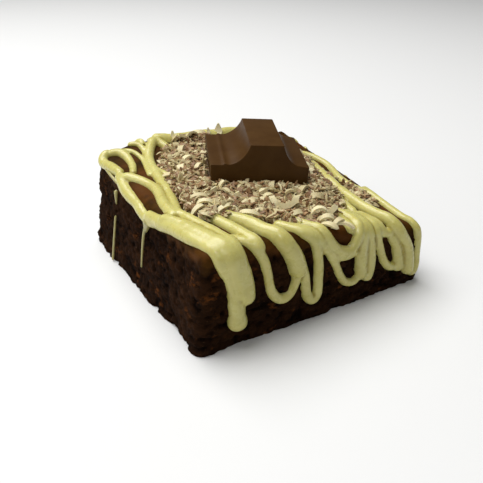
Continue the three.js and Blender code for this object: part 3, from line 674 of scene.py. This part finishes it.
def piece_section():
    """Outline across the piece: a ledge, a hollow flank, the flat top, a flank and a ledge.

    Each flank is part of a circle, level at its foot and steep at the top, stretched to size.
    A low bead runs along the crease between the left ledge and its flank.
    """
    half = PIECE_WIDTH / 2
    rise = PIECE_HEIGHT - LEDGE_HEIGHT
    steep = math.radians(STEEP)

    def flank(foot, run, angles):
        return np.stack([foot + run * np.sin(angles) / math.sin(steep),
                         LEDGE_HEIGHT + rise * (1 - np.cos(angles)) / (1 - math.cos(steep))], -1)

    left = flank(-half + LEFT_LEDGE, LEFT_FLANK, np.linspace(0, steep, 16))
    right = flank(half - RIGHT_LEDGE, -RIGHT_FLANK,
                  np.linspace(steep, math.radians(RIGHT_START), 14))
    crease = -half + LEFT_LEDGE
    ledge = np.stack([np.linspace(-half + 0.8, crease - 0.1, LEDGE_POINTS),
                      np.full(LEDGE_POINTS, LEDGE_HEIGHT)], -1)
    section = np.vstack([[(-half + PIECE_FOOT_IN, 0), (-half, LEDGE_HEIGHT)], ledge, left, right,
                         [(half, LEDGE_HEIGHT - RIGHT_RIM_LOW), (half - PIECE_FOOT_IN, 0)]])
    section[1:, 1] += BEAD_HEIGHT * np.exp(-((section[1:, 0] - crease) / BEAD_REACH) ** 2)
    return section


def moulded_piece(material):
    """The section carried from front to back, with both faces leaning in and rounded edges."""
    section = piece_section()
    count = len(section)
    reach = PIECE_DEPTH / 2 - PIECE_DRAFT * section[:, 1] / PIECE_HEIGHT
    front = np.stack([section[:, 0], -reach, section[:, 1]], -1)
    back = np.stack([section[:, 0], reach, section[:, 1]], -1)
    points = np.vstack([front, back]) @ PIECE_PLACE.T + PIECE_AT
    polygons = [list(range(count - 1, -1, -1)), list(range(count, 2 * count))]
    polygons += [[(i + 1) % count, count + (i + 1) % count, count + i, i] for i in range(count)]
    mesh = bpy.data.meshes.new("moulded_piece")
    mesh.from_pydata((points * METRES).tolist(), [], polygons)
    mesh.update()
    piece = make_object("moulded_piece", mesh, material)
    bevel = piece.modifiers.new("worn edges", "BEVEL")
    bevel.width = WORN * METRES
    bevel.segments = WORN_SEGMENTS
    bevel.limit_method = "ANGLE"
    bevel.angle_limit = math.radians(WORN_ANGLE)
    apply_modifiers(piece)
    piece.data.shade_smooth()
    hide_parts("chocolate_chunk")


# Heap of shavings

# Share of the heap's reach where its rim starts to slope down, where it is down, and how thick
# it is there
RIM_START, RIM_END, RIM_THICK = 0.8, 1.05, 0.25
# How far past its half sizes the rim may swing out, and how far the bed is under the piece
SWING_X, SWING_Y, BELOW_PIECE = 5, 6, 0.3
# How much lower than the solid the shavings lie beside the moulded piece, and how far from it
SETTLED, SETTLED_TO = 0.6, 3.5
# Bed: points round it, rings, and how far it lies below the heap's top and goes into the crust
BED_COLUMNS, BED_RINGS, BED_LOW, BED_DEEP = 300, 75, 0.35, 1.5
# Chips of each kind over the heap, their stations, and small curls among them with theirs
CHIPS, CHIP_STATIONS, SMALL_CURLS, CURL_STATIONS = 2900, 6, 24, 16
# Placed curls: stations and thickness, and thickness of those tilted past an angle in degrees,
# which lie with their backs up
PLACED_STATIONS, CURL_THICK, BACK_UP, BACK_THICK = 18, 0.5, 100, 1.1
# Flakes: stations, thickness, bend in radians, and tilt and turn in degrees
FLAKE_STATIONS, FLAKE_THICK, FLAKE_BEND, FLAKE_TILT, FLAKE_TURN = 8, 0.5, 0.8, -118, -121


def heap_reach(angle):
    """Half size of the heap in a direction: a squarish oval with lobes, uneven along its rim."""
    across = np.abs(np.cos(angle)) / HEAP_HALF_X
    along = np.abs(np.sin(angle)) / HEAP_HALF_Y
    reach = (across ** 3 + along ** 3) ** (-1 / 3)
    for at, spread, far in HEAP_LOBES:
        away = 1 - np.cos(angle - math.radians(at))
        reach = reach + far * np.exp(-2 * away / math.radians(spread) ** 2)
    return reach + 0.9 * form_noise(2.2 * np.cos(angle), 2.2 * np.sin(angle), 5)


def heap_share(x, y):
    """Distance from the heap's middle as a share of its reach in that direction."""
    dx, dy = x - HEAP_X, y - HEAP_Y
    return np.hypot(dx, dy) / heap_reach(np.arctan2(dy, dx))


def under_spot(x, y):
    """Plan points in the moulded piece's own directions, from the middle of its underside."""
    return np.stack([x - PIECE_AT[0], y - PIECE_AT[1], np.zeros_like(x)], -1) @ PIECE_PLACE


def heap_height(x, y):
    """Top of the heap: against the piece's foot, sloping to a thin layer and down at the rim.

    With it comes the distance in plan from the moulded piece.
    """
    crust = top_height(x, y)
    spot = under_spot(x, y)
    away = np.hypot(np.maximum(np.abs(spot[..., 0]) - PIECE_WIDTH / 2, 0),
                    np.maximum(np.abs(spot[..., 1]) - PIECE_DEPTH / 2, 0))
    hill = PIECE_AT[2] - spot[..., 2] + HEAP_CLIMB - HEAP_SLOPE * away
    bumps = 0.4 * form_noise(x / 2.6, y / 2.6, 1)
    inside = np.maximum(crust + HEAP_THICK, hill) + bumps
    rim = smoothstep(heap_share(x, y), RIM_START, RIM_END)
    return mix(inside, crust + RIM_THICK, rim), away


def under_piece(x, y, height):
    """Heights pressed down below the moulded piece's underside."""
    spot = under_spot(x, y)
    inside = (np.abs(spot[..., 0]) < PIECE_WIDTH / 2) & (np.abs(spot[..., 1]) < PIECE_DEPTH / 2)
    return np.where(inside, np.minimum(height, PIECE_AT[2] - spot[..., 2] - BELOW_PIECE), height)


def settled(away):
    """How far the shavings lie lower beside the moulded piece than the solid does."""
    return SETTLED * (1 - smoothstep(away, 0, SETTLED_TO))


def heap_core(material):
    """Closed bed below the shavings: a polar grid over the heap, roughened in small lumps."""
    ring = np.arange(BED_COLUMNS)
    angle = 2 * math.pi * ring / BED_COLUMNS
    share = np.linspace(0.02, 1, BED_RINGS)[:, None]
    reach = share * heap_reach(angle)
    x, y = HEAP_X + reach * np.cos(angle), HEAP_Y + reach * np.sin(angle)
    height, away = heap_height(x, y)
    flat = np.stack([x, y, np.zeros_like(x)], -1)
    lumps = 0.75 * (0.5 - grain_noise(flat, 1.5, 80)) + 0.4 * (0.5 - grain_noise(flat, 0.7, 84))
    height = height - BED_LOW - settled(away)
    height = under_piece(x, y, height + lumps * smoothstep(1 - share, 0, 0.1))
    top = np.stack([x, y, np.maximum(height, top_height(x, y) - 0.2)], -1)
    under = np.stack([x[-1], y[-1], top_height(x[-1], y[-1]) - BED_DEEP], -1)
    tip, base = np.mean(top[0], 0), np.mean(under, 0) - [0, 0, 1]
    points = np.vstack([top.reshape(-1, 3), under, tip, base])
    after = (ring + 1) % BED_COLUMNS
    last = BED_RINGS * BED_COLUMNS
    to_tip, to_base = np.full_like(ring, len(points) - 2), np.full_like(ring, len(points) - 1)
    polygons = strip_faces(BED_RINGS + 1, BED_COLUMNS)[:, ::-1].tolist()
    polygons += np.stack([to_tip, ring, after], -1).tolist()
    polygons += np.stack([to_base, last + after, last + ring], -1).tolist()
    mesh = bpy.data.meshes.new("heap_bed")
    mesh.from_pydata((points * METRES).tolist(), [], polygons)
    mesh.update()
    mesh.shade_smooth()
    piece = make_object("heap_bed", mesh, material)
    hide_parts("shavings")


def random_turns(rng, count, tilt):
    """Rotations about Z by any angle, after a tilt about X and Y of the given spread."""
    about_x, about_y = rng.normal(0, tilt, count), rng.normal(0, tilt, count)
    return turns_of(about_x, about_y, rng.uniform(0, 2 * math.pi, count))


def turns_of(a, b, c):
    """Rotations in radians: about X, then about Y, then about Z."""
    one, none = np.ones(len(a)), np.zeros(len(a))
    tilt_x = np.stack([one, none, none, none, np.cos(a), -np.sin(a), none, np.sin(a), np.cos(a)], -1)
    tilt_y = np.stack([np.cos(b), none, np.sin(b), none, one, none, -np.sin(b), none, np.cos(b)], -1)
    turn_z = np.stack([np.cos(c), -np.sin(c), none, np.sin(c), np.cos(c), none, none, none, one], -1)
    x, y, z = (m.reshape(-1, 3, 3) for m in (tilt_x, tilt_y, turn_z))
    return z @ y @ x


def curled_strips(rng, at, length, width, thick, bend, turns, stations, blunt=4):
    """Shavings: strips bent to an arc of the given angle along their length, with ragged edges.

    Each station of a strip is a flat four-cornered section. At the share s of the half length its
    width goes as sqrt(1 - s^blunt). The strip is centred on its place and turned by its rotation.
    """
    count = len(at)
    share = np.linspace(-0.5, 0.5, stations)
    angle = bend[:, None] * share
    radius = (length / bend)[:, None]
    taper = np.sqrt(np.maximum(1 - (2 * np.abs(share)) ** blunt, 0.06))
    knots = np.linspace(0, 3.999, stations)
    drawn, part = rng.uniform(0.7, 1.15, (count, 5, 2)), (knots % 1)[:, None]
    low = knots.astype(int)
    ragged = mix(drawn[:, low], drawn[:, low + 1], part) * taper[:, None]
    points = np.zeros((count, stations, 4, 3))
    for corner, (side, face) in enumerate(((0, -1), (1, -1), (1, 1), (0, 1))):
        arm = radius + face * thick[:, None] / 2
        points[:, :, corner, 0] = arm * np.sin(angle)
        points[:, :, corner, 1] = (2 * side - 1) * ragged[:, :, side] * width[:, None] / 2
        points[:, :, corner, 2] = arm * np.cos(angle) - radius * np.cos(bend / 4)[:, None]
    points = np.einsum("nij,nskj->nski", turns, points)
    points += at[:, None, None, :]
    last = 4 * stations - 4
    ends = np.array([[3, 2, 1, 0], [last, last + 1, last + 2, last + 3]])
    faces = np.vstack([strip_faces(stations, 4), ends])
    faces = (faces + (np.arange(count) * 4 * stations)[:, None, None]).reshape(-1, 4)
    return points.reshape(-1, 3), faces, 4 * stations


def heap_spots(rng, count, low, high, near_piece):
    """Random places over the heap, even by area, between two heights above its bed.

    They are the first of six times as many draws that fall on the heap, clear of the piece.
    """
    far_x, far_y = HEAP_HALF_X + SWING_X, HEAP_HALF_Y + SWING_Y
    x = rng.uniform(HEAP_X - far_x, HEAP_X + far_x, 6 * count)
    y = rng.uniform(HEAP_Y - far_y, HEAP_Y + far_y, 6 * count)
    height, away = heap_height(x, y)
    good = np.flatnonzero((heap_share(x, y) < 1.02) & (away > near_piece))[:count]
    lift = rng.uniform(low, high, len(good)) - settled(away[good])
    return np.stack([x[good], y[good], height[good] + lift], -1)


def shavings_piece(name, strips, tones, material):
    """Strips of one kind as a mesh, each with its own tone."""
    points, faces, each = strips
    piece = make_piece(name, points, faces, material, smooth=False)
    give_attribute(piece, "tone", np.repeat(tones, each))
    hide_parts("shavings")


def patch_spots(rng):
    """Places of the few shavings that lie off the heap, on the crust and the strands."""
    spots = []
    for middle_x, middle_y, half_x, half_y, low, high, count in PATCHES:
        angle, share = rng.uniform(0, 2 * math.pi, count), np.sqrt(rng.uniform(0, 1, count))
        x, y = middle_x + half_x * share * np.cos(angle), middle_y + half_y * share * np.sin(angle)
        spots.append(np.stack([x, y, top_height(x, y) + rng.uniform(low, high, count)], -1))
    return np.vstack(spots)


def random_shavings(rng, milk, white):
    """Small milk and white chips over the heap, and a few small white curls on them."""
    for name, material in (("milk_shavings", milk), ("white_shavings", white)):
        at = np.vstack([heap_spots(rng, CHIPS, -0.5, 0.8, 0.35), patch_spots(rng)])
        n = len(at)
        length, width = rng.uniform(1.1, 3.4, n), rng.uniform(0.4, 1.1, n) ** 1.6 + 0.2
        thick, bend = rng.uniform(0.16, 0.36, n), rng.uniform(0.5, 3.0, n)
        turns = random_turns(rng, n, 0.6)
        strips = curled_strips(rng, at, length, width, thick, bend, turns, CHIP_STATIONS)
        shavings_piece(name, strips, rng.uniform(0, 0.8, n), material)
    at = heap_spots(rng, SMALL_CURLS, 0.5, 1.0, 1.2)
    n = len(at)
    length, width = rng.uniform(3, 5.5, n), rng.uniform(0.9, 1.5, n)
    thick, bend = rng.uniform(0.3, 0.5, n), rng.uniform(1.6, 4.6, n)
    turns = random_turns(rng, n, 0.9)
    strips = curled_strips(rng, at, length, width, thick, bend, turns, CURL_STATIONS)
    shavings_piece("white_curls", strips, rng.uniform(0.4, 1, n), white)


def placed_shavings(rng, white):
    """White curls where the photo shows them, and the flakes that stand up at the back edge."""
    x, y, over, length, width, bend, turn, tilt = np.array(CURLS).T
    at = np.stack([x, y, top_height(x, y) + over], -1)
    turns = turns_of(np.radians(tilt), np.zeros_like(x), np.radians(turn))
    thick = np.where(tilt > BACK_UP, BACK_THICK, CURL_THICK)
    strips = curled_strips(rng, at, length, width, thick, bend, turns, PLACED_STATIONS)
    shavings_piece("large_curls", strips, rng.uniform(0.6, 1, len(x)), white)
    x, y, over, length, width = np.array(FLAKES).T
    at = np.stack([x, y, top_height(x, y) + over], -1)
    tilt, turn = np.full_like(x, FLAKE_TILT), np.full_like(x, FLAKE_TURN)
    turns = turns_of(np.zeros_like(x), np.radians(tilt), np.radians(turn))
    thick, bend = np.full_like(x, FLAKE_THICK), np.full_like(x, FLAKE_BEND)
    strips = curled_strips(rng, at, length, width, thick, bend, turns, FLAKE_STATIONS, blunt=1)
    # The standing flakes all get the palest tone: painted light for the back light that shines through
    # them
    shavings_piece("standing_flakes", strips, np.ones_like(x), white)


def heap_pieces(milk, white):
    """All loose shavings, from one source of random numbers."""
    rng = np.random.default_rng(5)
    random_shavings(rng, milk, white)
    placed_shavings(rng, white)


# Finishes

class Value:
    """A node's output. Arithmetic on a number adds Math nodes."""

    def __init__(self, finish, socket):
        self.finish = finish
        self.socket = socket

    def math(self, operation, *others, clamp=False):
        """A Math node over this value and others, kept between 0 and 1 if clamped."""
        settings = {"operation": operation, "use_clamp": clamp}
        return self.finish.node("ShaderNodeMath", settings, dict(enumerate((self, *others))))

    def __add__(self, other):
        return self.math("ADD", other)

    def __sub__(self, other):
        return self.math("SUBTRACT", other)

    def __rsub__(self, other):
        return self.math("MULTIPLY_ADD", -1.0, other)

    def __mul__(self, other):
        return self.math("MULTIPLY", other)

    __radd__ = __add__
    __rmul__ = __mul__

    def within(self):
        """The value kept between 0 and 1."""
        return self.math("ADD", 0.0, clamp=True)


class Finish:
    """A material's node tree around one Principled shader, with patterns on its place."""

    def __init__(self, name, shine=0.5):
        self.material = bpy.data.materials.new(name)
        self.material.use_nodes = True
        self.tree = self.material.node_tree
        self.shader = self.tree.nodes["Principled BSDF"]
        self.set("Specular IOR Level", shine)
        self.place = self.node("ShaderNodeTexCoord", output="Object")

    def node(self, kind, settings=None, inputs=None, output=0):
        """Adds a node: its settings first, then the values or links of its sockets."""
        node = self.tree.nodes.new(kind)
        for key, setting in (settings or {}).items():
            if key == "stops":
                set_stops(node.color_ramp, setting)
            else:
                setattr(node, key, setting)
        for key, entry in (inputs or {}).items():
            self.feed(node.inputs[key], entry)
        return Value(self, node.outputs[output])

    def feed(self, socket, entry):
        """Links a value to a socket, or sets the socket to a plain one."""
        if isinstance(entry, Value):
            self.tree.links.new(entry.socket, socket)
        else:
            socket.default_value = entry

    def set(self, label, entry):
        """Feeds one of the shader's own sockets."""
        self.feed(self.shader.inputs[label], entry)

    def noise(self, size, detail=3.0, rough=0.55):
        """Noise with lumps of a size in mm, about 0 to 1."""
        inputs = {"Vector": self.place, "Scale": 1 / (size * METRES), "Detail": detail,
                  "Roughness": rough}
        return self.node("ShaderNodeTexNoise", inputs=inputs)

    def attribute(self, name):
        """The number that each point of the mesh carries under a name."""
        return self.node("ShaderNodeAttribute", {"attribute_name": name}, output="Fac")

    def steps(self, value, *stops):
        """A colour ramp over a value."""
        return self.node("ShaderNodeValToRGB", {"stops": stops}, {"Fac": value})

    def between(self, share, first, second):
        """One colour over another by a share."""
        return self.node("ShaderNodeMix", {"data_type": "RGBA"}, {0: share, 6: first, 7: second}, 2)

    def bump(self, height, depth, strength=1.0):
        """Normals of a height field whose full range is a depth in mm."""
        inputs = {"Height": height, "Distance": depth * METRES, "Strength": strength}
        return self.node("ShaderNodeBump", inputs=inputs, output="Normal")


def set_stops(ramp, stops):
    """Places and colours of a ramp's stops, the first two of which it has from the start."""
    for element, (place, colour) in zip(ramp.elements, stops):
        element.position, element.color = place, colour
    for place, colour in stops[2:]:
        ramp.elements.new(place).color = colour


def rgb(red, green, blue):
    """An opaque colour, linear."""
    return (red, green, blue, 1.0)


def cake_finish():
    """Dark crumb, with painted light on its lumps and painted shade in its pits, under a brown crust.

    The crumb has pale specks and rusty ones, and the crust is redder where it baked longer. All
    patterns are flattened as the crumb's lumps are.
    """
    finish = Finish("chocolate cake", 0.04)
    crumb = finish.attribute("crumb")
    lump = finish.attribute("lump")
    finish.place = finish.node("ShaderNodeVectorMath", {"operation": "MULTIPLY"},
                               {0: finish.place, 1: (1, 1, FLATTENED)})
    patches = finish.noise(2.6, 3)
    grains = finish.noise(1.1, 4, 0.65)
    # Painted light and shade: the relief makes lumps paler and pits darker; patches and grains vary at
    # random
    tone = (lump * 0.5 + 0.5) * 0.45 + patches * 0.25 + grains * 0.3
    dark = finish.steps(tone, (0.40, rgb(0.0045, 0.0017, 0.0006)),
                        (0.66, rgb(0.038, 0.0150, 0.0055)))
    pale = ((finish.noise(0.7, 2, 0.7) - 0.64) * 9).within()
    dark = finish.between(pale * 0.5, dark, rgb(0.080, 0.043, 0.020))
    rust = ((finish.noise(3.4, 1) - 0.60) * 9).within() * ((grains - 0.47) * 8).within()
    dark = finish.between(rust * 0.7, dark, rgb(0.13, 0.042, 0.009))
    brown = finish.steps(finish.noise(2.6, 5),
                         (0.3, rgb(0.020, 0.0083, 0.0008)), (0.7, rgb(0.070, 0.029, 0.0026)))
    baked = ((finish.noise(8.0, 3) - 0.48) * 6).within()
    brown = finish.between(baked * 0.55, brown, rgb(0.120, 0.040, 0.009))
    finish.set("Base Color", finish.between(crumb, brown, dark))
    finish.set("Roughness", crumb * 0.35 + 0.55)
    rough = finish.noise(0.7, 5, 0.7)
    finish.set("Normal", finish.bump(rough * (crumb * 0.8 + 0.2), 0.35))
    return finish.material


def drizzle_finish(name, thin=0.0):
    """Set white chocolate: pale yellow, with painted shade in its creases, a little see-through, soft
    gloss.

    Where it is thin, as in a string, the dark cake shows through and greys it by that share.
    """
    finish = Finish(name, 0.5)
    finish.set("Subsurface Weight", 0.3)
    finish.set("Subsurface Scale", 1.0 * METRES)
    finish.set("Subsurface Radius", (1.0, 0.75, 0.3))
    cloudy = finish.noise(4.0, 4)
    pale = finish.steps(cloudy, (0.3, rgb(0.54, 0.485, 0.14)), (0.72, rgb(0.61, 0.565, 0.20)))
    # Painted shade: where the skin is hollow, and a little by cloudy noise, the colour goes to a deep
    # olive
    crease = (finish.attribute("crease") * 0.9 + (cloudy - 0.5) * 0.5).within()
    pale = finish.between(crease, pale, rgb(0.35, 0.28, 0.04))
    finish.set("Base Color", finish.between(thin, pale, rgb(0.10, 0.085, 0.08)))
    finish.set("Roughness", finish.noise(1.6, 3) * 0.16 + 0.2)
    finish.set("Normal", finish.bump(finish.noise(0.9, 3), 0.13, 0.6))
    return finish.material


def shavings_finish(name, *stops):
    """Shavings of one kind: a tone for each over its stops, a little mottled, satin."""
    finish = Finish(name, 0.35)
    finish.set("Subsurface Weight", 0.2)
    finish.set("Subsurface Scale", 0.5 * METRES)
    finish.set("Subsurface Radius", (1.0, 0.8, 0.6))
    tone = finish.attribute("tone")
    mottled = tone * 0.8 + finish.noise(0.7, 3) * 0.2
    finish.set("Base Color", finish.steps(mottled, *stops))
    finish.set("Roughness", finish.noise(0.5, 2) * 0.3 + 0.35)
    finish.set("Normal", finish.bump(finish.noise(0.35, 3), 0.06))
    return finish.material


def bed_finish():
    """Bed of the heap: milk and white grains with dark gaps."""
    finish = Finish("bed of shavings", 0.3)
    mottled = finish.noise(0.9, 4, 0.7)
    finish.set("Base Color", finish.steps(mottled, (0.35, rgb(0.11, 0.055, 0.026)),
                                          (0.75, rgb(0.40, 0.27, 0.15))))
    finish.set("Roughness", finish.noise(0.8) * 0.2 + 0.5)
    finish.set("Normal", finish.bump(finish.noise(0.5, 4), 0.2))
    return finish.material


def piece_finish():
    """Moulded milk chocolate: smooth, with a soft sheen and faint bloom."""
    finish = Finish("moulded milk chocolate", 0.1)
    cloudy = finish.noise(3.5, 3)
    finish.set("Base Color", finish.steps(cloudy, (0.3, rgb(0.056, 0.0235, 0.0042)),
                                          (0.7, rgb(0.072, 0.033, 0.0072))))
    finish.set("Roughness", finish.noise(2.2, 3) * 0.1 + 0.36)
    finish.set("Normal", finish.bump(finish.noise(1.8, 3), 0.05, 0.5))
    return finish.material


# Floor, lights and camera

# Half the floor's side in metres
FLOOR_HALF = 3.0
# Soft lights: place and side in metres, and power in watts
LIGHTS = {"overhead": ((-0.10, 0.20, 0.55), 0.52, 4.9), "left": ((-0.60, 0.15, 0.30), 0.30, 0.4),
          "glint": ((-0.30, -0.34, 0.46), 0.09, 0.55)}
# What the lights aim at, in metres, and the glow of the room around
AIM = (0, 0, 0.012)
ROOM_GLOW = 0.115
# Width of the camera's film and nearest distance that it sees, in millimetres
FILM_WIDTH, NEAREST = 36, 5


def floor():
    """A plain pale floor under the cake."""
    finish = Finish("pale floor")
    finish.set("Roughness", 0.7)
    finish.set("Base Color", rgb(0.78, 0.78, 0.77))
    mesh = bpy.data.meshes.new("floor")
    far = FLOOR_HALF
    mesh.from_pydata([(-far, -far, 0), (far, -far, 0), (far, far, 0), (-far, far, 0)], [],
                     [(0, 1, 2, 3)])
    mesh.materials.append(finish.material)
    plane = bpy.data.objects.new("floor", mesh)
    bpy.context.collection.objects.link(plane)


def soft_light(name, place, size, power):
    """A square soft white light, facing the cake."""
    light = bpy.data.lights.new(name, "AREA")
    light.shape = "SQUARE"
    light.size = size
    light.energy = power
    lamp = bpy.data.objects.new(name, light)
    aim = np.array(AIM) - place
    lamp.location = place
    lamp.rotation_euler = (math.acos(-aim[2] / np.linalg.norm(aim)), 0,
                           math.atan2(aim[0], -aim[1]) + math.pi)
    bpy.context.collection.objects.link(lamp)


def studio():
    """A broad light overhead and to the back, weak ones on the left and in front, pale room."""
    floor()
    for name, (place, size, power) in LIGHTS.items():
        soft_light(name, place, size, power)
    room = bpy.data.worlds.new("pale room")
    room.use_nodes = True
    room.node_tree.nodes["Background"].inputs["Color"].default_value = (1, 1, 1, 1)
    room.node_tree.nodes["Background"].inputs["Strength"].default_value = ROOM_GLOW
    bpy.context.scene.world = room
    bpy.context.scene.view_settings.view_transform = "Standard"


def camera():
    """The photo's viewpoint."""
    lens = bpy.data.cameras.new("camera")
    lens.sensor_width = FILM_WIDTH
    lens.lens = FILM_WIDTH * CAMERA_FOCAL
    lens.clip_start = NEAREST * METRES
    view = bpy.data.objects.new("camera", lens)
    view.location = np.array(CAMERA_AT) * METRES
    view.rotation_euler = (math.radians(90 - CAMERA_TILT), 0, math.radians(-CAMERA_HEADING))
    bpy.context.collection.objects.link(view)
    bpy.context.scene.camera = view


camera()
studio()
cake_mesh(cake_finish())
drizzle_mesh(drizzle_finish("white chocolate drizzle"))
thread_mesh(drizzle_finish("fine strings", thin=0.36))
moulded_piece(piece_finish())
heap_core(bed_finish())
heap_pieces(
    shavings_finish("milk shavings", (0.12, rgb(0.18, 0.092, 0.038)), (0.75, rgb(0.41, 0.26, 0.13))),
    shavings_finish("white shavings", (0.1, rgb(0.34, 0.26, 0.12)), (0.9, rgb(0.80, 0.72, 0.44)),
                    (0.55, rgb(0.56, 0.47, 0.25))))
